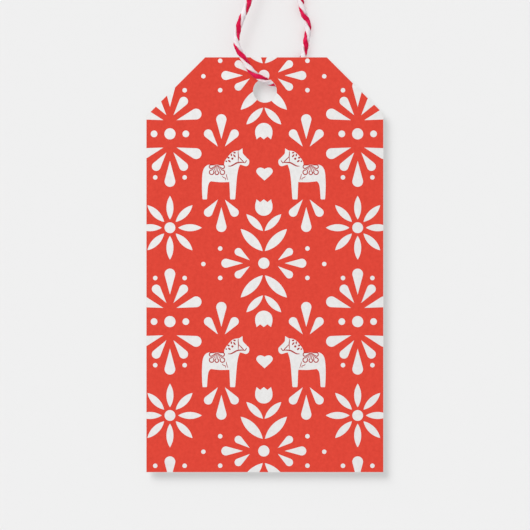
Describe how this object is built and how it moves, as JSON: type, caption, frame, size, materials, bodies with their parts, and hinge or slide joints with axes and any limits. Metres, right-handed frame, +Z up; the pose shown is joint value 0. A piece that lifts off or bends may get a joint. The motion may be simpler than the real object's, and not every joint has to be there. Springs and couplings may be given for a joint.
{
  "type": "gift tag",
  "caption": "Rectangular printed gift tag with two cut top corners and a punched hole, hanging from a knotted loop of red and white twine that the card can swing on.",
  "frame": {"origin": "hang point: the inside top of the twine loop, just under the knot, where the two strands meet", "axes": "+Z up along the hanging strands, -Y out of the printed face, +X to the right seen from the printed face"},
  "size_m": [0.0508, 0.0046, 0.1725],
  "materials": {
    "printed_card": "matte print on white card",
    "twine": "soft two-ply cotton, one red ply and one white"
  },
  "bodies": {
    "twine": {"twine_loop": "twine", "twine_knot": "twine", "twine_tail_left": "twine", "twine_tail_right": "twine"},
    "tag": {"tag_card": "printed_card"}
  },
  "joints": [
    {"name": "tag_swing", "type": "hinge", "parent": "twine", "child": "tag", "pos_m": [0, 0, -0.075], "axis": [0, -1, 0], "range_deg": [-45, 45]}
  ]
}
